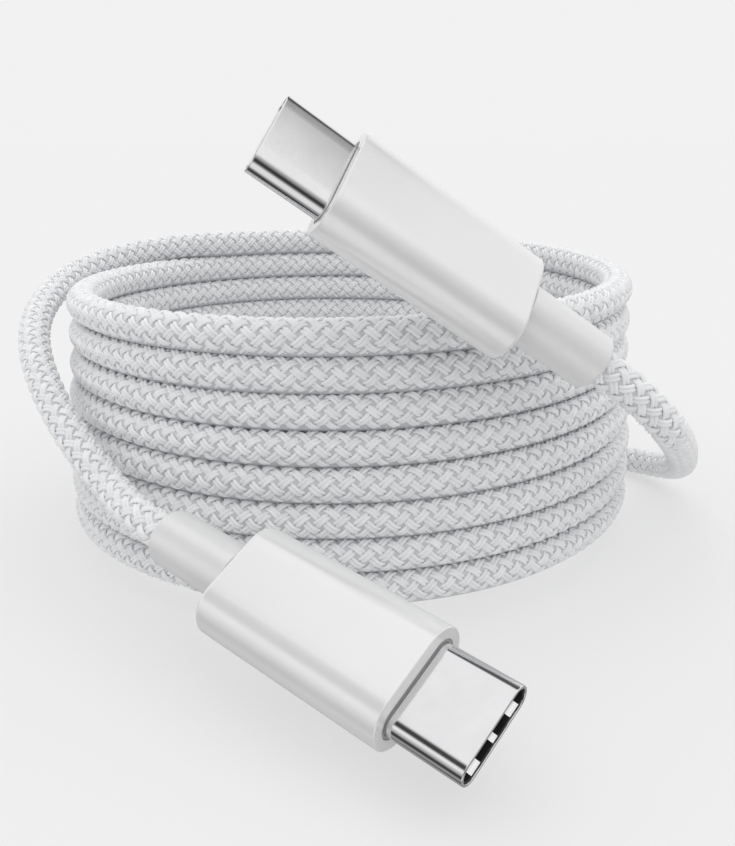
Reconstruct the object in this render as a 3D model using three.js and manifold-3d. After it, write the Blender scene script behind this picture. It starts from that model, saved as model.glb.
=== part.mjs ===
// White braided charging cable, lying wound in a tall coil with a plug at each end.
// Millimetres, +Z up. The coil stands on Z = 0. The first plug (a) is in front of the coil, held a few
// millimetres above the same surface by its cord. The second plug (b) leans against the coil's top
// front edge with its tip up.
// A plug's own frame: X towards the tip, Y to the left, Z up, origin in the housing's tip-side face.
import * as THREE from 'three';
import { mergeVertices } from 'three/addons/utils/BufferGeometryUtils.js';
import Module from 'manifold-3d';

const wasm = await Module();
wasm.setup();

// Cord and coil
const CORD_D = 3.5;
const COIL_R = 31.7; // centreline radius of the turns
const COIL_FLARE = 1.1; // how much wider the lowest turns lie
const FLARE_LOW = 9; // height up to which they have that width
const FLARE_HIGH = 25; // height from which the turns have the plain radius
const COIL_TURNS = 8.25;
const TURN_PITCH = 3.535;
const COIL_TOP = COIL_TURNS * TURN_PITCH + CORD_D * 0.6; // the top turn's mean upper surface
const CORD_SIDES = 8;
const CORD_STEP = 8; // length of one straight step of a cord tube

// Plug shell, the standard 8.25 x 2.40 connector
const SHELL_W = 8.25;
const SHELL_H = 2.4;
const SHELL_WALL = 0.25;
const SHELL_OUT = 6.65; // length that stands out of the housing
const SHELL_IN = 4.2; // length inside the housing

// Housing and strain relief
const HOUSING_W = 10.6;
const HOUSING_H = 5.5;
const HOUSING_L = 18.9;
const HOUSING_EDGE = 0.45; // rounding of both ends
const CAVITY_W = 9.1;
const CAVITY_H = 3.7;
const END_WALL = 1.2;
const COLLAR_SET = 0.1; // depth of the recess round the shell
const RELIEF_D = 5.3;
const RELIEF_L = 8.9;
const GAP = 0.1; // clearance between neighbouring small pieces
const JOINT_GAP = 0.3; // clearance between a cord and what it meets

// Inside the plug
const INSULATOR_H = 1.24;
const SLOT_W = 6.7;
const SLOT_H = 0.84;
const SHEET = 0.13; // thickness of the stamped sheet-metal pieces
const CONTACTS = 12;
const CONTACT_PITCH = 0.5;
const CONTACT_W = 0.25;
const BOARD_W = 7.2;
const BOARD_H = 0.6;
const BOARD_START = -4.5;
const BOARD_L = 7.4;
const CAN_END = -14.2;
const CORE_D = 2.4; // the cord's inner jacket, without its braid
const WIRE_D = 0.5;

// Where the plugs lie: place of the housing's tip-side face, then yaw, pitch and roll in degrees
const PLUG_A = { at: [5.84, -55.48, 7.23], yaw: -39.4, pitch: -8.7, roll: 32.4 };
const PLUG_B = { at: [-0.31, -37.81, 42.05], yaw: 190.0, pitch: 34.6, roll: -50.2 };

// Routes of the two free stretches, between the strain relief and the coil
const TAIL_A = [
  [-22.2, -30.5, 12.7], [-25.9, -26.8, 15.1], [-29.6, -22.4, 18.0], [-33.2, -16.6, 21.0],
  [-35.9, -10.0, 23.6], [-37.2, -3.0, 25.7], [-37.0, 3.4, 27.4], [-35.6, 8.2, 28.6],
  [-33.6, 12.0, 29.3],
];
const TAIL_B = [
  [30.0, -31.2, 19.8], [33.5, -24.8, 16.0], [36.7, -17.1, 12.4], [39.6, -9.6, 8.9],
  [41.8, -2.8, 5.7], [42.3, 3.4, 3.2], [40.4, 8.6, 2.0], [36.6, 12.6, CORD_D / 2],
  [33.5, 16.3, CORD_D / 2],
];

const WHITE_PLASTIC = new THREE.MeshStandardMaterial({ color: 0xeeeeef, roughness: 0.32 });
const RELIEF_PLASTIC = new THREE.MeshStandardMaterial({ color: 0xe4e5e6, roughness: 0.45 });
const BRAID = new THREE.MeshStandardMaterial({ color: 0xe6e7e9, roughness: 0.75 });
const POLISHED_STEEL = new THREE.MeshStandardMaterial({ color: 0xd6d6d8, roughness: 0.12, metalness: 1 });
const SPRING_STEEL = new THREE.MeshStandardMaterial({ color: 0xc9c9c6, roughness: 0.25, metalness: 1 });
const GOLD = new THREE.MeshStandardMaterial({ color: 0xd7b25c, roughness: 0.25, metalness: 1 });
const BLACK_PLASTIC = new THREE.MeshStandardMaterial({ color: 0x141415, roughness: 0.5 });
const BOARD_GREEN = new THREE.MeshStandardMaterial({ color: 0x1d5a36, roughness: 0.55 });
const WIRE_COLOURS = {
  vbus: 0xb3201e, ground: 0x1a1a1a, data_plus: 0x2e8b3d, data_minus: 0xf0f0ee, cc: 0x2b4fa8,
};

/** A rectangle with round corners, centred on the origin. */
function roundedRect(width, height, radius, Outline = THREE.Shape) {
  const x = width / 2 - radius;
  const y = height / 2 - radius;
  const outline = new Outline();
  outline.absarc(x, y, radius, 0, Math.PI / 2, false);
  outline.absarc(-x, y, radius, Math.PI / 2, Math.PI, false);
  outline.absarc(-x, -y, radius, Math.PI, 1.5 * Math.PI, false);
  outline.absarc(x, -y, radius, 1.5 * Math.PI, 2 * Math.PI, false);
  return outline;
}

/** A straight-sided outline through the given corners. */
function polygon(corners) {
  return new THREE.Shape(corners.map(([x, y]) => new THREE.Vector2(x, y)));
}

/** Extrudes a section drawn in the plug's Y and Z from x0 to x1 along its X. */
function alongX(section, x0, x1, edge = 0, arcSegments = 5) {
  const geometry = new THREE.ExtrudeGeometry(section, {
    depth: x1 - x0 - 2 * edge,
    curveSegments: arcSegments,
    bevelEnabled: edge > 0,
    bevelThickness: edge,
    bevelSize: edge,
    bevelSegments: 2,
  });
  geometry.translate(0, 0, x0 + edge);
  geometry.applyMatrix4(new THREE.Matrix4().set(0, 0, 1, 0, 1, 0, 0, 0, 0, 1, 0, 0, 0, 0, 0, 1));
  return geometry;
}

/** Extrudes an outline drawn in the plug's X and Y upwards from z0. */
function upFrom(z0, outline, thickness) {
  const geometry = new THREE.ExtrudeGeometry(outline, { depth: thickness, bevelEnabled: false });
  geometry.translate(0, 0, z0);
  return geometry;
}

/** Turns a closed [radius, x] profile round the plug's X axis. */
function turnedAboutX(profile, segments = 20) {
  const closed = [...profile, profile[0]].map(([r, x]) => new THREE.Vector2(r, x));
  const geometry = new THREE.LatheGeometry(closed, segments);
  geometry.rotateZ(-Math.PI / 2);
  return geometry;
}

function toSolid(geometry) {
  const bare = geometry.clone();
  bare.deleteAttribute('normal');
  bare.deleteAttribute('uv');
  const merged = mergeVertices(bare, 1e-5);
  return new wasm.Manifold(new wasm.Mesh({
    numProp: 3,
    vertProperties: new Float32Array(merged.attributes.position.array),
    triVerts: new Uint32Array(merged.index.array),
  }));
}

function toGeometry(solid) {
  const mesh = solid.getMesh();
  const geometry = new THREE.BufferGeometry();
  geometry.setAttribute('position', new THREE.BufferAttribute(mesh.vertProperties, 3));
  geometry.setIndex(new THREE.BufferAttribute(mesh.triVerts, 1));
  geometry.computeVertexNormals();
  return geometry;
}

function piece(name, geometry, material) {
  const mesh = new THREE.Mesh(geometry, material);
  mesh.name = name;
  return mesh;
}

/** The drawn steel tube that goes into the socket, open at both ends. */
function plugShell(end) {
  const section = roundedRect(SHELL_W, SHELL_H, SHELL_H / 2 - 0.01);
  const inner = SHELL_H - 2 * SHELL_WALL;
  section.holes.push(roundedRect(SHELL_W - 2 * SHELL_WALL, inner, inner / 2 - 0.01, THREE.Path));
  return piece(`plug_shell_${end}`, alongX(section, -SHELL_IN, SHELL_OUT), POLISHED_STEEL);
}

/** The black moulding inside the shell, with the slot that takes the socket's tongue. */
function insulator(end) {
  const width = SHELL_W - 2 * SHELL_WALL - 2 * GAP;
  const section = roundedRect(width, INSULATOR_H, INSULATOR_H / 2 - 0.01);
  section.holes.push(roundedRect(SLOT_W, SLOT_H, 0.1, THREE.Path));
  return piece(`insulator_${end}`, alongX(section, -SHELL_IN + 0.1, SHELL_OUT - 0.35, 0, 4), BLACK_PLASTIC);
}

/** One row of twelve contacts on its moulded carrier, as one comb. */
function contactRow(end, side) {
  const half = ((CONTACTS - 1) * CONTACT_PITCH + CONTACT_W) / 2;
  const root = -3.4;
  const tip = 4.6;
  const corners = [[-4.4, -half], [root, -half]];
  for (let i = 0; i < CONTACTS; i += 1) {
    const y = -half + i * CONTACT_PITCH;
    corners.push([root, y], [tip, y], [tip, y + CONTACT_W], [root, y + CONTACT_W]);
  }
  corners.push([-4.4, half]);
  const outline = polygon(corners.filter((c, i) => i === 0 || `${c}` !== `${corners[i - 1]}`));
  const low = side > 0 ? 0.2 : -0.2 - SHEET;
  return piece(`${side > 0 ? 'upper' : 'lower'}_contacts_${end}`, upFrom(low, outline, SHEET), GOLD);
}

/** The middle plate: two side arms whose hooks hold the plug in the socket. */
function latchPlate(end) {
  const outer = SLOT_W / 2 - GAP;
  const inner = 3.02;
  const outline = polygon([
    [-4.2, -outer], [4.9, -outer], [5.2, -inner], [4.6, -inner + 0.12], [4.3, -inner],
    [-3.6, -inner], [-3.6, inner], [4.3, inner], [4.6, inner - 0.12], [5.2, inner],
    [4.9, outer], [-4.2, outer],
  ]);
  return piece(`latch_plate_${end}`, upFrom(-SHEET / 2, outline, SHEET), SPRING_STEEL);
}

/** The earthing spring between the moulding and the shell, with its three tongues at the mouth. */
function groundSpring(end, side) {
  const tip = SHELL_OUT - 0.5;
  const root = 3.4;
  const outline = polygon([
    [root - 1, -3.0], [tip, -3.0], [tip, -1.5], [root, -1.5], [root, -0.45], [tip, -0.45],
    [tip, 0.45], [root, 0.45], [root, 1.5], [tip, 1.5], [tip, 3.0], [root - 1, 3.0],
  ]);
  const low = INSULATOR_H / 2 + GAP;
  const geometry = upFrom(side > 0 ? low : -low - SHEET, outline, SHEET);
  return piece(`${side > 0 ? 'upper' : 'lower'}_ground_spring_${end}`, geometry, SPRING_STEEL);
}

/** The white outer cover: a flat-sided tube with an end wall where the cord comes in. */
function housing(end) {
  const edge = HOUSING_EDGE;
  const section = roundedRect(HOUSING_W - 2 * edge, HOUSING_H - 2 * edge, HOUSING_H / 2 - edge - 0.01);
  const body = toSolid(alongX(section, -HOUSING_L, 0, edge, 7));
  const cavitySection = roundedRect(CAVITY_W, CAVITY_H, CAVITY_H / 2 - 0.01);
  const cavity = toSolid(alongX(cavitySection, -HOUSING_L + END_WALL, 1));
  const bore = (CORD_D + 2 * GAP) / 2;
  const [x0, x1] = [-HOUSING_L - 1, -HOUSING_L + END_WALL + 1];
  const exit = toSolid(turnedAboutX([[0, x0], [bore, x0], [bore, x1], [0, x1]]));
  return piece(`housing_${end}`, toGeometry(body.subtract(cavity).subtract(exit)), WHITE_PLASTIC);
}

/** The collar that centres the shell in the housing and closes the recess round it. */
function collar(end) {
  const section = roundedRect(CAVITY_W - 2 * GAP, CAVITY_H - 2 * GAP, CAVITY_H / 2 - GAP - 0.01);
  section.holes.push(roundedRect(SHELL_W + 2 * GAP, SHELL_H + 2 * GAP, SHELL_H / 2 + GAP - 0.01, THREE.Path));
  return piece(`collar_${end}`, alongX(section, -SHELL_IN, -COLLAR_SET), RELIEF_PLASTIC);
}

/** The small circuit board that joins the contacts to the wires. */
function paddleBoard(end) {
  const outline = polygon([
    [BOARD_START, -BOARD_W / 2], [BOARD_START, BOARD_W / 2],
    [BOARD_START - BOARD_L, BOARD_W / 2], [BOARD_START - BOARD_L, -BOARD_W / 2],
  ].reverse());
  return piece(`paddle_board_${end}`, upFrom(-BOARD_H / 2, outline, BOARD_H), BOARD_GREEN);
}

/** The sheet-metal can round the board, open at both ends. */
function shieldCan(end) {
  const width = CAVITY_W - 2 * GAP;
  const height = CAVITY_H - 2 * GAP;
  const section = roundedRect(width, height, height / 2 - 0.01);
  const inner = height - 2 * SHEET;
  section.holes.push(roundedRect(width - 2 * SHEET, inner, inner / 2 - 0.01, THREE.Path));
  return piece(`shield_can_${end}`, alongX(section, CAN_END, -SHELL_IN - GAP), SPRING_STEEL);
}

/** The end of the cord inside the strain relief: full thickness, then its inner jacket. */
function jacketEnd(end) {
  const back = -HOUSING_L - RELIEF_L + 0.2;
  const outer = CORD_D / 2;
  const step = -HOUSING_L + END_WALL + GAP;
  const profile = [
    [0, back], [outer, back], [outer, step], [CORE_D / 2, step], [CORE_D / 2, -14.9], [0, -14.9],
  ];
  const closed = profile.map(([r, x]) => new THREE.Vector2(r, x));
  const geometry = new THREE.LatheGeometry(closed, 16);
  geometry.rotateZ(-Math.PI / 2);
  return piece(`jacket_end_${end}`, geometry, BRAID);
}

/** The crimp ring that anchors the cord's inner jacket. */
function crimpRing(end) {
  const bore = CORE_D / 2 + GAP;
  const outer = CAVITY_H / 2 - 0.15;
  const profile = [[bore, -17.4], [outer, -17.4], [outer, -15.3], [bore, -15.3]];
  return piece(`crimp_ring_${end}`, turnedAboutX(profile, 16), SPRING_STEEL);
}

/** The plain sleeve that keeps the cord from kinking where it leaves the housing. */
function strainRelief(end) {
  const bore = CORD_D / 2 + GAP;
  const outer = RELIEF_D / 2;
  const front = -HOUSING_L - GAP;
  const back = -HOUSING_L - RELIEF_L;
  const profile = [[bore, back], [outer - 0.25, back], [outer, back + 0.25], [outer, front], [bore, front]];
  return piece(`strain_relief_${end}`, turnedAboutX(profile, 24), RELIEF_PLASTIC);
}

/** One insulated conductor from the inner jacket to its pad on the board. */
function wire(end, name, colour, index) {
  const spread = 1.35 * (index - 2);
  const side = index % 2 === 0 ? 1 : -1;
  const padHeight = side * (BOARD_H / 2 + WIRE_D / 2 + GAP);
  const path = new THREE.CatmullRomCurve3([
    new THREE.Vector3(-14.7, 0.3 * spread, 0.45 * side),
    new THREE.Vector3(-13.4, 0.7 * spread, 0.5 * side),
    new THREE.Vector3(-12.2, spread, padHeight),
    new THREE.Vector3(-10.6, spread, padHeight),
  ]);
  const section = new THREE.Shape().absarc(0, 0, WIRE_D / 2, 0, 2 * Math.PI, false);
  const geometry = new THREE.ExtrudeGeometry(section, { steps: 8, curveSegments: 3, extrudePath: path });
  const material = new THREE.MeshStandardMaterial({ color: colour, roughness: 0.4 });
  return piece(`${name}_wire_${end}`, geometry, material);
}

/** The chip that tells the charger what current the cord carries. */
function markerChip(end) {
  const outline = polygon([[-9.4, -1.2], [-7.0, -1.2], [-7.0, 1.2], [-9.4, 1.2]]);
  return piece(`marker_chip_${end}`, upFrom(BOARD_H / 2 + GAP, outline, 0.6), BLACK_PLASTIC);
}

/** A whole plug, placed on the model. */
function plug(end, place) {
  const group = new THREE.Group();
  group.add(plugShell(end), insulator(end), latchPlate(end), housing(end), collar(end), paddleBoard(end));
  for (const side of [1, -1]) {
    group.add(contactRow(end, side), groundSpring(end, side));
  }
  group.add(shieldCan(end), jacketEnd(end), crimpRing(end), strainRelief(end));
  Object.entries(WIRE_COLOURS).forEach(([name, colour], i) => group.add(wire(end, name, colour, i)));
  group.position.set(...place.at);
  group.rotation.order = 'ZYX';
  const [yaw, pitch, roll] = [place.yaw, place.pitch, place.roll].map(THREE.MathUtils.degToRad);
  group.rotation.set(roll, -pitch, yaw);
  group.updateMatrixWorld(true);
  return group;
}

/** The wound turns, as one plain ring of their outer shape; the lower turns lie a little wider. */
function coil() {
  const [inner, outer] = [COIL_R - CORD_D / 2, COIL_R + CORD_D / 2];
  const profile = [
    [inner + COIL_FLARE, 0], [outer + COIL_FLARE, 0], [outer + COIL_FLARE, FLARE_LOW], [outer, FLARE_HIGH],
    [outer, COIL_TOP], [inner, COIL_TOP], [inner, FLARE_HIGH], [inner + COIL_FLARE, FLARE_LOW],
    [inner + COIL_FLARE, 0],
  ];
  const geometry = new THREE.LatheGeometry(profile.map(([r, z]) => new THREE.Vector2(r, z)), 64);
  geometry.rotateX(Math.PI / 2);
  return piece('cord_coil', geometry, BRAID);
}

/** A free stretch of cord, from just behind a plug's strain relief along its route. */
function cordTail(name, plugGroup, route) {
  const back = -HOUSING_L - RELIEF_L;
  const start = new THREE.Vector3(back - JOINT_GAP, 0, 0).applyMatrix4(plugGroup.matrixWorld);
  const straight = new THREE.Vector3(back - 1.4 * CORD_D, 0, 0).applyMatrix4(plugGroup.matrixWorld);
  const path = new THREE.CatmullRomCurve3([start, straight, ...route.map((p) => new THREE.Vector3(...p))]);
  const section = new THREE.Shape();
  for (let i = 0; i < CORD_SIDES; i += 1) {
    const angle = (2 * Math.PI * i) / CORD_SIDES;
    section[i === 0 ? 'moveTo' : 'lineTo']((CORD_D / 2) * Math.cos(angle), (CORD_D / 2) * Math.sin(angle));
  }
  const steps = Math.ceil(path.getLength() / CORD_STEP);
  return piece(name, new THREE.ExtrudeGeometry(section, { steps, extrudePath: path }), BRAID);
}

const plugA = plug('a', PLUG_A);
plugA.add(markerChip('a'));
const plugB = plug('b', PLUG_B);

const cable = new THREE.Group();
cable.add(coil(), plugA, plugB);
cable.add(cordTail('cord_tail_a', plugA, TAIL_A), cordTail('cord_tail_b', plugB, TAIL_B));

// The origin is the middle of the object's footprint, at the height of the surface that it lies on.
cable.updateMatrixWorld(true);
const box = new THREE.Box3().setFromObject(cable, true);
cable.position.set(-(box.min.x + box.max.x) / 2, -(box.min.y + box.max.y) / 2, 0);

export default cable;
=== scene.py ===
"""White braided charging cable, wound in a tall coil: the looks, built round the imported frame."""

import math

import bpy
import numpy as np
from mathutils import Matrix, Vector


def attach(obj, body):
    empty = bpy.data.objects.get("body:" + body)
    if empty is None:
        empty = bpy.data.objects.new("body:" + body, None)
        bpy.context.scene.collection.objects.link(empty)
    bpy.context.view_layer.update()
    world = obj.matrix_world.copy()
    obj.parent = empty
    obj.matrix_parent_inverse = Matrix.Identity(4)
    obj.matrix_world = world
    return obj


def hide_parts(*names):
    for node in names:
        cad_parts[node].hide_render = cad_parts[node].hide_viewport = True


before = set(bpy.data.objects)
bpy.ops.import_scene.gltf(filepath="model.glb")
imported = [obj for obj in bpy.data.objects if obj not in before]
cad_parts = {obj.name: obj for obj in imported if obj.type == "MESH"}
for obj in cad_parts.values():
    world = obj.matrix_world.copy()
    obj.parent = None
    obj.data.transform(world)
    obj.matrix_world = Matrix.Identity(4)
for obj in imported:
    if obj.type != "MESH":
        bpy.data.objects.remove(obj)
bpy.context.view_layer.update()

MM = 0.001

# ---------------------------------------------------------------- sizes, in millimetres, as in the CAD
CORD_D = 3.5
COIL_R = 31.7
TURN_PITCH = 3.5
FLARE, FLARE_LOW, FLARE_HIGH = 1.1, 9, 25  # the lower turns lie a little wider
TOP_Z = 30.9  # height of the helix's centreline where it starts
COIL_AT = (-2.423, 13.898)  # the coil's axis in the row frame
SHELL_W, SHELL_H, SHELL_WALL = 8.25, 2.4, 0.25
SHELL_OUT, SHELL_IN = 6.65, 4.2
HOUSING_W, HOUSING_H, HOUSING_L, HOUSING_EDGE = 10.6, 5.5, 18.9, 0.45
CAVITY_W, CAVITY_H = 9.1, 3.7
FRONT_EDGE = 0.14  # rounding of the housing's front edge
LIP, LIP_FLAT, LIP_DEPTH = 1.52, 2.87, 0.25  # the housing's opening in its front face
LINING = 6.52  # where the black moulding's thin front lining ends
RELIEF_D, RELIEF_L = 5.3, 8.9
GAP = 0.1

# Place of each housing's tip-side face (from the coil's axis), then yaw, pitch and roll in degrees.
PLUGS = {
    "a": ((5.84, -55.48, 7.23), -39.4, -8.7, 32.4),
    "b": ((-0.31, -37.81, 42.05), 190.0, 34.6, -50.2),
}

# The free stretches of cord between each strain relief and the coil.
TAIL_A = [
    (-22.2, -30.5, 12.7), (-25.9, -26.8, 15.1), (-29.6, -22.4, 18.0), (-33.2, -16.6, 21.0),
    (-35.9, -10.0, 23.6), (-37.2, -3.0, 25.7), (-37.0, 3.4, 27.4), (-35.6, 8.2, 28.6),
    (-33.6, 12.0, 29.3),
]
JOIN_A = [(-31.4, 15.4, 29.8), (-28.4, 18.6, 30.1), (-24.6, 21.6, 30.4)]
TAIL_B = [
    (30.0, -31.2, 19.8), (33.5, -24.8, 16.0), (36.7, -17.1, 12.4), (39.6, -9.6, 8.9),
    (41.8, -2.8, 5.7), (42.3, 3.4, 3.2), (40.4, 8.6, 2.0), (36.6, 12.6, 1.75),
    (33.5, 16.3, 1.75),
]

# The braid. Its radius is over the crossings, where neighbouring turns press into each other a little.
CARRIERS = 6  # each way round
LAY = 10.9  # length along the cord in which a carrier goes once round
YARN_W, YARN_T = 0.73, 0.40
BRAID_R = 1.79
CORE_R = 1.40
RING_STEP = LAY / 36  # between the rings of points of a yarn
HELIX_FROM, HELIX_TO, HELIX_STEP = 50, 3010, 10  # degrees of the wound turns


def plug_matrix(end):
    """Plug frame (X towards the tip, Z up, origin in the housing's front face) to the row frame, in mm."""
    at, yaw, pitch, roll = PLUGS[end]
    turn = (
        Matrix.Rotation(math.radians(yaw), 4, "Z")
        @ Matrix.Rotation(math.radians(-pitch), 4, "Y")
        @ Matrix.Rotation(math.radians(roll), 4, "X")
    )
    return Matrix.Translation((at[0] + COIL_AT[0], at[1] + COIL_AT[1], at[2])) @ turn


# ---------------------------------------------------------------- camera
camera_data = bpy.data.cameras.new("camera")
camera_data.lens = 45.65
camera_data.sensor_width = 36
camera_data.sensor_fit = "HORIZONTAL"
camera_data.clip_start = 0.005
camera = bpy.data.objects.new("camera", camera_data)
camera.location = ((2.13 + COIL_AT[0]) * MM, (COIL_AT[1] - 114.42) * MM, 0.04557)
camera.rotation_euler = (math.radians(72.87), 0, 0)
bpy.context.scene.collection.objects.link(camera)
bpy.context.scene.camera = camera


# ---------------------------------------------------------------- mesh helpers
def mesh_object(name, points, faces, material, attributes=None):
    """A mesh from an (n, 3) array of row-frame points in mm and an (m, 4) array of faces."""
    points = np.asarray(points, np.float32) * MM
    faces = np.asarray(faces, np.int32)
    mesh = bpy.data.meshes.new(name)
    mesh.vertices.add(len(points))
    mesh.vertices.foreach_set("co", points.ravel())
    mesh.loops.add(faces.size)
    mesh.loops.foreach_set("vertex_index", faces.ravel())
    mesh.polygons.add(len(faces))
    mesh.polygons.foreach_set("loop_start", np.arange(0, faces.size, faces.shape[1], dtype=np.int32))
    mesh.update(calc_edges=True)
    mesh.polygons.foreach_set("use_smooth", np.full(len(faces), True))
    for key, values in (attributes or {}).items():
        made = mesh.attributes.new(key, "FLOAT_VECTOR", "POINT")
        made.data.foreach_set("vector", np.asarray(values, np.float32).ravel())
    mesh.validate()
    mesh.materials.append(material)
    made = bpy.data.objects.new(name, mesh)
    bpy.context.scene.collection.objects.link(made)
    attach(made, "root")
    return made


def grid_faces(rings, sides):
    """Faces between consecutive rings of points, each ring having the same number of sides."""
    i = np.arange(rings - 1)[:, None] * sides
    j = np.arange(sides)[None, :]
    k = (j + 1) % sides
    return np.stack([i + j, i + k, i + sides + k, i + sides + j], -1).reshape(-1, 4)


# ---------------------------------------------------------------- the cord's route
def smooth_curve(points, step=0.5):
    """Centripetal Catmull-Rom through the points, at about the given step."""
    p = np.asarray(points, float)
    p = np.vstack([2 * p[0] - p[1], p, 2 * p[-1] - p[-2]])
    out = []
    for i in range(1, len(p) - 2):
        p0, p1, p2, p3 = p[i - 1 : i + 3]
        t0 = 0.0
        t1 = t0 + math.sqrt(np.linalg.norm(p1 - p0))
        t2 = t1 + math.sqrt(np.linalg.norm(p2 - p1))
        t3 = t2 + math.sqrt(np.linalg.norm(p3 - p2))
        count = max(2, int(np.linalg.norm(p2 - p1) / step))
        t = np.linspace(t1, t2, count, endpoint=False)[:, None]
        a1 = (t1 - t) / (t1 - t0) * p0 + (t - t0) / (t1 - t0) * p1
        a2 = (t2 - t) / (t2 - t1) * p1 + (t - t1) / (t2 - t1) * p2
        a3 = (t3 - t) / (t3 - t2) * p2 + (t - t2) / (t3 - t2) * p3
        b1 = (t2 - t) / (t2 - t0) * a1 + (t - t0) / (t2 - t0) * a2
        b2 = (t3 - t) / (t3 - t1) * a2 + (t - t1) / (t3 - t1) * a3
        out.append((t2 - t) / (t2 - t1) * b1 + (t - t1) / (t2 - t1) * b2)
    out.append(p[-2][None])
    return np.vstack(out)


def resampled(line, step):
    at = np.concatenate([[0], np.cumsum(np.linalg.norm(np.diff(line, axis=0), axis=1))])
    wanted = np.linspace(0, at[-1], int(round(at[-1] / step)) + 1)
    return np.stack([np.interp(wanted, at, line[:, k]) for k in range(3)], -1)


def softened(line, step, sigma):
    """The line with its small kinks evened out; its ends stay."""
    half = int(3 * sigma / step)
    kernel = np.exp(-0.5 * (np.arange(-half, half + 1) * step / sigma) ** 2)
    kernel /= kernel.sum()
    front = 2 * line[0] - line[half:0:-1]
    back = 2 * line[-1] - line[-2 : -half - 2 : -1]
    padded = np.vstack([front, line, back])
    return np.stack([np.convolve(padded[:, k], kernel, "valid") for k in range(3)], -1)


def helix_point(turned):
    """Centreline of the coil after so many degrees, from the back left, sinking one turn pitch a turn."""
    around = math.radians(-90 - turned)
    height = max(CORD_D / 2, TOP_Z - TURN_PITCH * turned / 360)
    low = min(1, max(0, (FLARE_HIGH - height) / (FLARE_HIGH - FLARE_LOW)))
    radius = COIL_R + FLARE * low * low * (3 - 2 * low)
    return (radius * math.sin(around), -radius * math.cos(around), height)


def plug_points(end, along):
    m = plug_matrix(end)
    shift = Vector((COIL_AT[0], COIL_AT[1], 0))
    return [tuple(m @ Vector((x, 0, 0)) - shift) for x in along]


def cord_route():
    back = -HOUSING_L - RELIEF_L
    route = plug_points("a", (back + 1.5, back - 0.3, back - 4.9)) + TAIL_A + JOIN_A
    route += [helix_point(t) for t in range(HELIX_FROM, HELIX_TO + 1, HELIX_STEP)]
    route += TAIL_B[::-1] + plug_points("b", (back - 4.9, back - 0.3, back + 1.5))
    line = resampled(smooth_curve(route), 0.25)
    line = softened(line, 0.25, 2.0) + np.array([*COIL_AT, 0])
    return resampled(line, RING_STEP)


def frames_along(line):
    """Tangent and two normals at each point, turned as little as possible from one to the next."""
    tangent = np.gradient(line, axis=0)
    tangent /= np.linalg.norm(tangent, axis=1, keepdims=True)
    first = np.cross(tangent[0], (0, 0, 1.0))
    normal = np.zeros_like(line)
    normal[0] = first / np.linalg.norm(first)
    for i in range(1, len(line)):
        n = normal[i - 1] - tangent[i] * (normal[i - 1] @ tangent[i])
        normal[i] = n / np.linalg.norm(n)
    return tangent, normal, np.cross(tangent, normal)


def carrier(line, frames, start, way):
    """One yarn of the braid: two strands side by side that go over one crossing yarn and under the next."""
    tangent, normal, binormal = frames
    along = np.arange(len(line)) * RING_STEP
    turn = start + way * 2 * math.pi * along / LAY
    phase = 2 * CARRIERS * math.pi * along / LAY
    weave = way * (np.cos(phase) - 0.10 * np.cos(3 * phase)) / 0.9
    mid = BRAID_R - YARN_T
    radius = mid + 0.5 * YARN_T * weave
    out = np.cos(turn)[:, None] * normal + np.sin(turn)[:, None] * binormal
    centre = line + radius[:, None] * out
    ahead = np.gradient(centre, axis=0)
    ahead /= np.linalg.norm(ahead, axis=1, keepdims=True)
    side = np.cross(out, ahead)
    side /= np.linalg.norm(side, axis=1, keepdims=True)
    up = np.cross(ahead, side)
    across = np.array([-0.92, -1.0, -0.52, -0.14, 0.0, 0.14, 0.52, 1.0, 0.92]) * YARN_W / 2
    height = np.array([-0.7, 0.1, 0.95, 0.45, 0.1, 0.45, 0.95, 0.1, -0.7]) * YARN_T / 2
    points = (
        centre[:, None]
        + across[None, :, None] * side[:, None]
        + height[None, :, None] * up[:, None]
    )
    rings, sides = len(line), len(across)
    fibre = np.zeros((rings, sides, 3))
    fibre[..., 0] = along[:, None]
    fibre[..., 1] = across
    fibre[..., 2] = 40 * start + 7 * way
    return points.reshape(-1, 3), grid_faces(rings, sides), {"fibre": fibre.reshape(-1, 3)}


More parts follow.
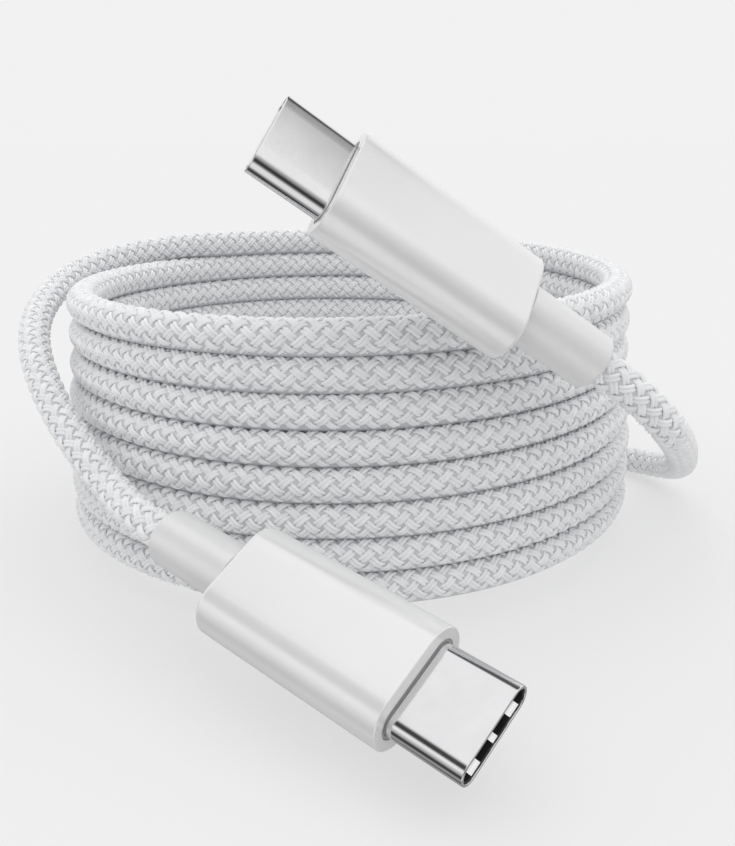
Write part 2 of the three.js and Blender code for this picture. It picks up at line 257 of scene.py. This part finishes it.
# ---------------------------------------------------------------- materials
class Finish:
    """A Principled material whose pattern comes from the object's own coordinates, in metres."""

    def __init__(self, name, colour, roughness, metallic=0.0, **own):
        self.material = bpy.data.materials.new(name)
        self.material.use_nodes = True
        self.tree = self.material.node_tree
        self.shader = self.tree.nodes["Principled BSDF"]
        self.shader.inputs["Base Color"].default_value = (*colour, 1)
        self.shader.inputs["Roughness"].default_value = roughness
        self.shader.inputs["Metallic"].default_value = metallic
        for key, value in own.items():
            self.shader.inputs[key.replace("_", " ")].default_value = value
        self.place = self.tree.nodes.new("ShaderNodeTexCoord").outputs["Object"]

    def noise(self, per_mm, detail=3.0, stretch=(1, 1, 1), place=None):
        mapping = self.tree.nodes.new("ShaderNodeMapping")
        mapping.inputs["Scale"].default_value = tuple(1000 * per_mm * k for k in stretch)
        self.tree.links.new(place or self.place, mapping.inputs["Vector"])
        noise = self.tree.nodes.new("ShaderNodeTexNoise")
        noise.inputs["Scale"].default_value = 1.0
        noise.inputs["Detail"].default_value = detail
        self.tree.links.new(mapping.outputs[0], noise.inputs["Vector"])
        return noise.outputs["Fac"]

    def spread(self, value, low, high, socket):
        """Drives one of the shader's sockets from low to high with a 0 to 1 pattern."""
        spread = self.tree.nodes.new("ShaderNodeMapRange")
        spread.inputs["From Min"].default_value = 0.3
        spread.inputs["From Max"].default_value = 0.7
        spread.inputs["To Min"].default_value = low
        spread.inputs["To Max"].default_value = high
        self.tree.links.new(value, spread.inputs["Value"])
        self.tree.links.new(spread.outputs[0], self.shader.inputs[socket])

    def tint(self, value, dark, pale):
        ramp = self.tree.nodes.new("ShaderNodeValToRGB")
        ramp.color_ramp.elements[0].position = 0.3
        ramp.color_ramp.elements[1].position = 0.7
        ramp.color_ramp.elements[0].color = (*dark, 1)
        ramp.color_ramp.elements[1].color = (*pale, 1)
        self.tree.links.new(value, ramp.inputs["Fac"])
        self.tree.links.new(ramp.outputs["Color"], self.shader.inputs["Base Color"])

    def bump(self, height, depth_mm, strength=1.0):
        bump = self.tree.nodes.new("ShaderNodeBump")
        bump.inputs["Strength"].default_value = strength
        bump.inputs["Distance"].default_value = depth_mm * MM
        self.tree.links.new(height, bump.inputs["Height"])
        self.tree.links.new(bump.outputs["Normal"], self.shader.inputs["Normal"])


def moulded(name, dark, pale, low, high, **own):
    """Moulded plastic: faint cloudiness, fine grain, slightly uneven gloss."""
    made = Finish(name, pale, low, **own)
    made.tint(made.noise(0.12, 4), dark, pale)
    made.spread(made.noise(0.6, 4), low, high, "Roughness")
    made.bump(made.noise(2.5, 1), 0.004, 0.15)
    return made.material


def metal(name, dark, pale, low, high, scratches=(3, 3, 3)):
    """Metal with a faint drawn grain, uneven polish and slight tone changes."""
    made = Finish(name, pale, low, 1.0)
    made.tint(made.noise(0.4, 4), dark, pale)
    made.spread(made.noise(1.0, 5, scratches), low, high, "Roughness")
    made.bump(made.noise(2.0, 3, scratches), 0.001, 0.2)
    return made.material


def yarn_material(name, colour):
    """One braided yarn: fine fibres along its length, dull with a soft sheen."""
    made = Finish(name, colour, 0.55, Sheen_Weight=0.3, Sheen_Roughness=0.45, Specular_IOR_Level=0.3)
    along = made.tree.nodes.new("ShaderNodeAttribute")
    along.attribute_name = "fibre"
    fibres = made.noise(0.001, 3, (1.2, 9, 1), along.outputs["Vector"])
    made.spread(fibres, 0.45, 0.75, "Roughness")
    made.bump(fibres, 0.035, 0.6)
    return made.material


def inside(name, colour, low, high, metallic=0.0):
    """Pieces that lie inside the plug: plain colour, uneven gloss, fine grain."""
    made = Finish(name, colour, low, metallic)
    made.spread(made.noise(1.5, 4), low, high, "Roughness")
    made.bump(made.noise(6.0, 3), 0.004, 0.4)
    return made.material


white_plastic = moulded(
    "white_plastic", (0.75, 0.75, 0.75), (0.77, 0.77, 0.77), 0.20, 0.26, IOR=2.0, Specular_IOR_Level=1.0
)
relief_plastic = moulded(
    "relief_plastic", (0.71, 0.71, 0.71), (0.73, 0.73, 0.73), 0.32, 0.40, IOR=1.8, Specular_IOR_Level=1.0
)
# Grey collar plastic, made darker than its own grey to paint in the shade of the band round the shell's root.
collar_plastic_painted_shade = moulded("collar_plastic_painted_shade", (0.36, 0.36, 0.365), (0.39, 0.39, 0.395), 0.45, 0.55)
black_plastic = moulded("black_plastic", (0.010, 0.010, 0.011), (0.016, 0.016, 0.017), 0.35, 0.5)
polished_steel = metal("polished_steel", (0.74, 0.74, 0.75), (0.79, 0.79, 0.80), 0.08, 0.13)
spring_steel = metal("spring_steel", (0.90, 0.90, 0.89), (0.94, 0.94, 0.93), 0.2, 0.28, (1, 12, 12))
contact_gold = metal("contact_gold", (0.72, 0.52, 0.20), (0.82, 0.62, 0.28), 0.18, 0.30, (1, 12, 12))
board_green = inside("board_green", (0.02, 0.11, 0.045), 0.4, 0.6)
core = inside("core", (0.60, 0.61, 0.63), 0.7, 0.9)
YARNS = [
    yarn_material("yarn_1", (0.86, 0.865, 0.875)),
    yarn_material("yarn_2", (0.84, 0.845, 0.86)),
    yarn_material("yarn_3", (0.88, 0.885, 0.895)),
]
WIRES = {
    "vbus_wire": inside("wire_red", (0.50, 0.03, 0.03), 0.35, 0.5),
    "ground_wire": inside("wire_black", (0.02, 0.02, 0.02), 0.35, 0.5),
    "data_plus_wire": inside("wire_green", (0.05, 0.30, 0.08), 0.35, 0.5),
    "data_minus_wire": inside("wire_white", (0.80, 0.80, 0.78), 0.35, 0.5),
    "cc_wire": inside("wire_blue", (0.05, 0.10, 0.40), 0.35, 0.5),
}

route = cord_route()
frames = frames_along(route)

# The plain core that shows through the braid's holes, with every fourth ring of the route.
core_line = np.vstack([route[::4], route[-1:]])
core_normal, core_binormal = (np.vstack([f[::4], f[-1:]]) for f in frames[1:])
angles = np.linspace(0, 2 * math.pi, 20, endpoint=False)
spoke = (
    np.cos(angles)[None, :, None] * core_normal[:, None]
    + np.sin(angles)[None, :, None] * core_binormal[:, None]
)
# Where a turn lies on the next one down, the core bulges into the crease between the two.
away = np.abs(np.hypot(core_line[:, 0] - COIL_AT[0], core_line[:, 1] - COIL_AT[1]) - COIL_R - FLARE / 2)
wound = np.clip(3 - 2 * away, 0, 1) * (core_line[:, 2] > CORD_D)
bulge = 0.62 * wound[:, None] * np.clip(-spoke[:, :, 2], 0, 1) ** 8
ring = core_line[:, None] + (CORE_R + bulge)[:, :, None] * spoke
cord_core = mesh_object("cord_core", ring.reshape(-1, 3), grid_faces(len(core_line), len(angles)), core)
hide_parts("cord_coil", "cord_tail_a", "cord_tail_b")

for number in range(CARRIERS):
    for way, letter in ((1, "s"), (-1, "z")):
        points, faces, fibre = carrier(route, frames, 2 * math.pi * number / CARRIERS, way)
        yarn = YARNS[(2 * number + (way < 0)) % len(YARNS)]
        strand = mesh_object(f"braid_{letter}{number + 1}", points, faces, yarn, fibre)


# ---------------------------------------------------------------- plugs
ARC, FLAT = 24, 6  # steps round each half circle and along each flat of a section


def section(x, flat, radius):
    """A flat-sided section with full-round edges, at x along the plug; flat is half the flat's width."""
    turn = np.linspace(-math.pi / 2, math.pi / 2, ARC + 1)
    right = np.stack([flat + radius * np.cos(turn), radius * np.sin(turn)], -1)
    across = np.linspace(flat, -flat, FLAT + 2)[1:-1]
    top = np.stack([across, np.full(FLAT, radius)], -1)
    loop = np.vstack([right, top, -right, -top])
    return np.column_stack([np.full(len(loop), x), loop])


def round_section(x, radius, sides=64):
    turn = np.linspace(0, 2 * math.pi, sides, endpoint=False)
    return np.stack([np.full(sides, x), radius * np.cos(turn), radius * np.sin(turn)], -1)


def corner(x0, r0, x1, r1, steps=6, first_along_x=True):
    """(x, r) points of a quarter-round edge between two tangent directions, without its first point."""
    out = []
    for a in np.linspace(0, math.pi / 2, steps + 1)[1:]:
        s, c = math.sin(a), 1 - math.cos(a)
        u, v = (s, c) if first_along_x else (c, s)
        out.append((x0 + (x1 - x0) * u, r0 + (r1 - r0) * v))
    return out


def lofted(name, matrix, rings, material, ends="joined"):
    """A solid through matching rings of plug-frame points; its ends are joined to each other or capped."""
    rings = np.asarray(rings)
    count, sides = rings.shape[:2]
    faces = grid_faces(count, sides).tolist()
    if ends == "joined":
        last = (count - 1) * sides
        faces += [[last + j, last + (j + 1) % sides, (j + 1) % sides, j] for j in range(sides)]
    else:
        faces += [list(range(sides))[::-1], list(range((count - 1) * sides, count * sides))]
    points = [matrix @ Vector(p) * MM for p in rings.reshape(-1, 3)]
    mesh = bpy.data.meshes.new(name)
    mesh.from_pydata(points, [], faces)
    mesh.polygons.foreach_set("use_smooth", [True] * len(mesh.polygons))
    mesh.validate()
    mesh.materials.append(material)
    made = bpy.data.objects.new(name, mesh)
    bpy.context.scene.collection.objects.link(made)
    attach(made, "root")
    return made


def kept_flat(profile, margin=0.02):
    """Adds a point close to both ends of each long straight step, so that smooth shading stays flat there."""
    out = [profile[0]]
    for before, after in zip(profile, profile[1:]):
        a, b = np.array(before, float), np.array(after, float)
        gap = np.linalg.norm((b - a)[:2]) + abs((b - a)[-1])
        if gap > 6 * margin:
            step = margin / gap
            out += [tuple(a + (b - a) * step), tuple(b + (a - b) * step)]
        out.append(after)
    return out


def housing(end, matrix):
    flat, r, back, edge = (HOUSING_W - HOUSING_H) / 2, HOUSING_H / 2, -HOUSING_L, HOUSING_EDGE
    inner_flat, inner = (CAVITY_W - CAVITY_H) / 2, CAVITY_H / 2
    path = [(back, 0.4, inner), (back, flat, r - edge)]
    path += [(x, flat, q) for x, q in corner(back, r - edge, back + edge, r, 8, False)]
    path += [(-FRONT_EDGE, flat, r)]
    path += [(x, flat, q) for x, q in corner(-FRONT_EDGE, r, 0, r - FRONT_EDGE, 5)]
    path += [(0, LIP_FLAT, LIP + 0.03)]
    path += [(x, LIP_FLAT, q) for x, q in corner(0, LIP + 0.03, -0.03, LIP, 3, False)]
    path += [(-LIP_DEPTH, LIP_FLAT, LIP), (-LIP_DEPTH, inner_flat, inner)]
    path += [(back + 1.2, inner_flat, inner), (back + 1.2, 0.4, inner)]
    rings = [section(*p) for p in kept_flat(path)]
    made = lofted(f"housing_cover_{end}", matrix, rings, white_plastic)
    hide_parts(f"housing_{end}")
    return made


def shell(end, matrix):
    flat, r = (SHELL_W - SHELL_H) / 2, SHELL_H / 2
    inner = r - SHELL_WALL
    path = [(-SHELL_IN, inner), (-SHELL_IN, r), (SHELL_OUT - 0.11, r)]
    path += corner(SHELL_OUT - 0.11, r, SHELL_OUT, r - 0.11, 6)
    path += [(SHELL_OUT, inner + 0.07)] + corner(SHELL_OUT, inner + 0.07, SHELL_OUT - 0.07, inner, 4, False)
    rings = [section(x, flat, q) for x, q in kept_flat(path)]
    made = lofted(f"shell_tube_{end}", matrix, rings, polished_steel)
    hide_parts(f"plug_shell_{end}")
    return made


# The grey ring round the shell's root; part of its dark colour is painted shade.
def collar(end, matrix):
    outer_flat, outer = (CAVITY_W - CAVITY_H) / 2, CAVITY_H / 2 - 0.02
    inner_flat, inner = (SHELL_W - SHELL_H) / 2, SHELL_H / 2 + 0.02
    step, lip, face = -LIP_DEPTH - 0.02, LIP - 0.02, -0.06
    path = [(-SHELL_IN, inner_flat, inner), (-SHELL_IN, outer_flat, outer), (step, outer_flat, outer)]
    path += [(step, LIP_FLAT, lip), (face - 0.03, LIP_FLAT, lip)]
    path += [(x, LIP_FLAT, q) for x, q in corner(face - 0.03, lip, face, lip - 0.03, 3)]
    path += [(face, inner_flat, inner)]
    rings = [section(*p) for p in kept_flat(path)]
    made = lofted(f"collar_ring_{end}", matrix, rings, collar_plastic_painted_shade)
    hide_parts(f"collar_{end}")
    return made


def strain_relief(end, matrix):
    r, bore = RELIEF_D / 2, CORD_D / 2 + GAP
    front, back = -HOUSING_L - 0.01, -HOUSING_L - RELIEF_L
    path = [(front, bore), (back + 0.1, bore)]
    path += corner(back + 0.1, bore, back, bore + 0.1, 3)
    path += [(back, r - 0.4)] + corner(back, r - 0.4, back + 0.4, r, 8, False)
    path += [(front, r)]
    rings = [round_section(x, q) for x, q in kept_flat(path)]
    made = lofted(f"relief_sleeve_{end}", matrix, rings[::-1], relief_plastic)
    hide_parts(f"strain_relief_{end}")
    return made


def moulding(end, matrix):
    flat, outer = (SHELL_W - SHELL_H) / 2, SHELL_H / 2 - SHELL_WALL - 0.03
    path = [(-4.1, flat, outer), (LINING - 0.03, flat, outer), (LINING, flat, outer - 0.03)]
    path += [(LINING, flat, outer - 0.08), (LINING - 0.03, flat, outer - 0.1)]
    path += [(5.5, flat, outer - 0.1), (5.45, flat, 0.46), (5.35, flat, 0.42), (-2.0, flat, 0.42)]
    rings = [section(*p) for p in kept_flat(path)]
    made = lofted(f"moulding_{end}", matrix, rings, black_plastic, "capped")
    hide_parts(f"insulator_{end}")
    return made


def earthing_spring(end, matrix, side):
    """Three tongues that bow inwards behind the mouth, on a common root."""
    points, faces = [], []

    def strip(y0, y1, profile, thick):
        start = len(points)
        for x, z in profile:
            for y, dz in ((y0, 0.0), (y1, 0.0), (y1, thick), (y0, thick)):
                points.append((x, y, side * (z + dz)))
        for i in range(len(profile) - 1):
            a = start + 4 * i
            for j in range(4):
                k = (j + 1) % 4
                face = [a + j, a + k, a + 4 + k, a + 4 + j]
                faces.append(face if side < 0 else face[::-1])
        first = [start + j for j in range(4)]
        last = [j + 4 * (len(profile) - 1) for j in first]
        faces.append(first[::-1] if side < 0 else first)
        faces.append(last if side < 0 else last[::-1])

    bow = [(6.48, 0.81), (6.33, 0.765), (6.18, 0.71), (6.03, 0.655), (5.9, 0.615), (5.7, 0.6), (5.4, 0.62)]
    bow += [(5.1, 0.68), (4.7, 0.775)]
    for y, half in ((-2.45, 0.56), (0.0, 0.31), (2.45, 0.56)):
        strip(y - half, y + half, bow, 0.07)
    strip(-3.05, 3.05, [(5.3, 0.775), (2.5, 0.775)], 0.07)
    name = f"{'upper' if side > 0 else 'lower'}_spring_tongues_{end}"
    mesh = bpy.data.meshes.new(name)
    mesh.from_pydata([matrix @ Vector(p) * MM for p in points], [], faces)
    mesh.materials.append(spring_steel)
    made = bpy.data.objects.new(name, mesh)
    bpy.context.scene.collection.objects.link(made)
    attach(made, "root")
    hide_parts(f"{'upper' if side > 0 else 'lower'}_ground_spring_{end}")
    return made


for end in "ab":
    matrix = plug_matrix(end)
    housing(end, matrix)
    shell(end, matrix)
    collar(end, matrix)
    strain_relief(end, matrix)
    moulding(end, matrix)
    for side in (1, -1):
        earthing_spring(end, matrix, side)

CARRIED = {
    "latch_plate": spring_steel, "shield_can": spring_steel, "crimp_ring": spring_steel,
    "upper_contacts": contact_gold, "lower_contacts": contact_gold, "paddle_board": board_green,
    "marker_chip": black_plastic, "jacket_end": core, **WIRES,
}
for name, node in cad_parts.items():
    kind = name[:-2]
    if kind in CARRIED:
        node.data.materials.clear()
        node.data.materials.append(CARRIED[kind])


# ---------------------------------------------------------------- floor and light
bpy.context.scene.view_settings.view_transform = "Standard"

# Part of the floor's brightness is its own, so that the shadows on it stay pale.
floor_finish = Finish("floor", (0.34, 0.34, 0.34), 0.9, Specular_IOR_Level=0.0)
floor_finish.shader.inputs["Emission Color"].default_value = (1, 1, 1, 1)
floor_finish.shader.inputs["Emission Strength"].default_value = 0.493
# Shiny surfaces look through the floor, at the studio's lower half.
floor_nodes = floor_finish.tree.nodes
glossy_ray = floor_nodes.new("ShaderNodeLightPath").outputs["Is Glossy Ray"]
floor_mix, floor_clear = floor_nodes.new("ShaderNodeMixShader"), floor_nodes.new("ShaderNodeBsdfTransparent")
floor_finish.tree.links.new(glossy_ray, floor_mix.inputs[0])
floor_finish.tree.links.new(floor_finish.shader.outputs[0], floor_mix.inputs[1])
floor_finish.tree.links.new(floor_clear.outputs[0], floor_mix.inputs[2])
floor_finish.tree.links.new(floor_mix.outputs[0], floor_nodes["Material Output"].inputs["Surface"])
floor_mesh = bpy.data.meshes.new("floor")
FLOOR_HALF = 6.0
floor_corners = [(x * FLOOR_HALF, y * FLOOR_HALF, 0) for x, y in ((-1, -1), (1, -1), (1, 1), (-1, 1))]
floor_mesh.from_pydata(floor_corners, [], [(0, 1, 2, 3)])
floor_mesh.materials.append(floor_finish.material)
floor = bpy.data.objects.new("floor", floor_mesh)
floor.location = (0, 0, -0.00005)
bpy.context.scene.collection.objects.link(floor)

BACKDROP = 0.883
SKY_LOW, SKY_TOP = 0.43, 1.30  # light from the horizon and from above


class Sky:
    """The studio: a plain pale backdrop, and light that comes mostly from above, with a card and a few flags."""

    def __init__(self):
        world = bpy.data.worlds.new("studio")
        bpy.context.scene.world = world
        world.use_nodes = True
        self.tree = world.node_tree
        self.tree.nodes.clear()
        self.direction = self.node("ShaderNodeTexCoord").outputs["Generated"]

    def node(self, kind, **settings):
        made = self.tree.nodes.new(kind)
        for key, value in settings.items():
            setattr(made, key, value)
        return made

    def put(self, socket, value):
        if isinstance(value, bpy.types.NodeSocket):
            self.tree.links.new(value, socket)
        else:
            socket.default_value = value

    def maths(self, operation, a, b=None):
        made = self.node("ShaderNodeMath", operation=operation)
        self.put(made.inputs[0], a)
        if b is not None:
            self.put(made.inputs[1], b)
        return made.outputs[0]

    def along(self, axis):
        made = self.node("ShaderNodeVectorMath", operation="DOT_PRODUCT")
        self.put(made.inputs[0], self.direction)
        made.inputs[1].default_value = tuple(axis)
        return made.outputs["Value"]

    def ramp(self, value, low, high, start=0.0, end=1.0):
        made = self.node("ShaderNodeMapRange", interpolation_type="SMOOTHSTEP")
        for socket, number in zip(made.inputs[:5], (value, low, high, start, end)):
            self.put(socket, number)
        return made.outputs[0]

    def patch(self, azimuth, half_wide, soft_wide, low, high, soft):
        """1 inside a soft-edged patch of sky, 0 outside; degrees, azimuth from +Y towards +X."""
        az = math.radians(azimuth)
        ahead = self.along((math.sin(az), math.cos(az), 0))
        aside = self.along((math.cos(az), -math.sin(az), 0))
        off = self.maths("ABSOLUTE", self.maths("ARCTAN2", aside, ahead))
        inner, outer = math.radians(half_wide - soft_wide), math.radians(half_wide + soft_wide)
        wide = self.ramp(off, inner, outer, 1.0, 0.0)
        up = self.maths("ARCSINE", self.along((0, 0, 1)))
        above = self.ramp(up, math.radians(low - soft), math.radians(low + soft))
        below = self.ramp(up, math.radians(high - soft), math.radians(high + soft), 1.0, 0.0)
        return self.maths("MULTIPLY", wide, self.maths("MULTIPLY", above, below))

    def mixed(self, factor, a, b):
        mix = self.node("ShaderNodeMix", data_type="FLOAT")
        for socket, value in zip((mix.inputs[0], mix.inputs[2], mix.inputs[3]), (factor, a, b)):
            self.put(socket, value)
        return mix.outputs[0]

    def finish(self, light, mirrored):
        ray = self.node("ShaderNodeLightPath").outputs
        strength = self.mixed(ray["Is Glossy Ray"], light, mirrored)
        strength = self.mixed(ray["Is Camera Ray"], strength, BACKDROP)
        background = self.node("ShaderNodeBackground")
        background.inputs["Color"].default_value = (1, 1, 1, 1)
        self.put(background.inputs["Strength"], strength)
        out = self.node("ShaderNodeOutputWorld")
        self.put(out.inputs["Surface"], background.outputs[0])


sky = Sky()
light = sky.ramp(sky.along((0, 0, 1)), 0.05, 0.75, SKY_LOW, SKY_TOP)

# What shiny surfaces mirror: pale all round, with dark flags and a brighter card.
mirrored = sky.ramp(sky.along((0, 0, 1)), -0.3, 0.25, 0.36, 1.03)
for azimuth, half_wide, soft_wide, low, high, soft, level in (
    (-176, 38, 10, -52, -22, 5, 0.92),
    (-118, 42, 8, 24, 57, 9, 0.05),
    (-112, 34, 8, -37, -17, 4, 0.06),
    (151, 42, 14, -1, 25, 13, 0.33),
    (164, 30, 8, -14, 8, 5, 0.05),
    (-97, 26, 10, -75, -53, 4, 0.06),
    (30, 60, 4, 42, 65, 5, 0.42),
    (30, 48, 9, 43, 72, 4, 0.10),
):
    mirrored = sky.mixed(sky.patch(azimuth, half_wide, soft_wide, low, high, soft), mirrored, level)
sky.finish(light, mirrored)
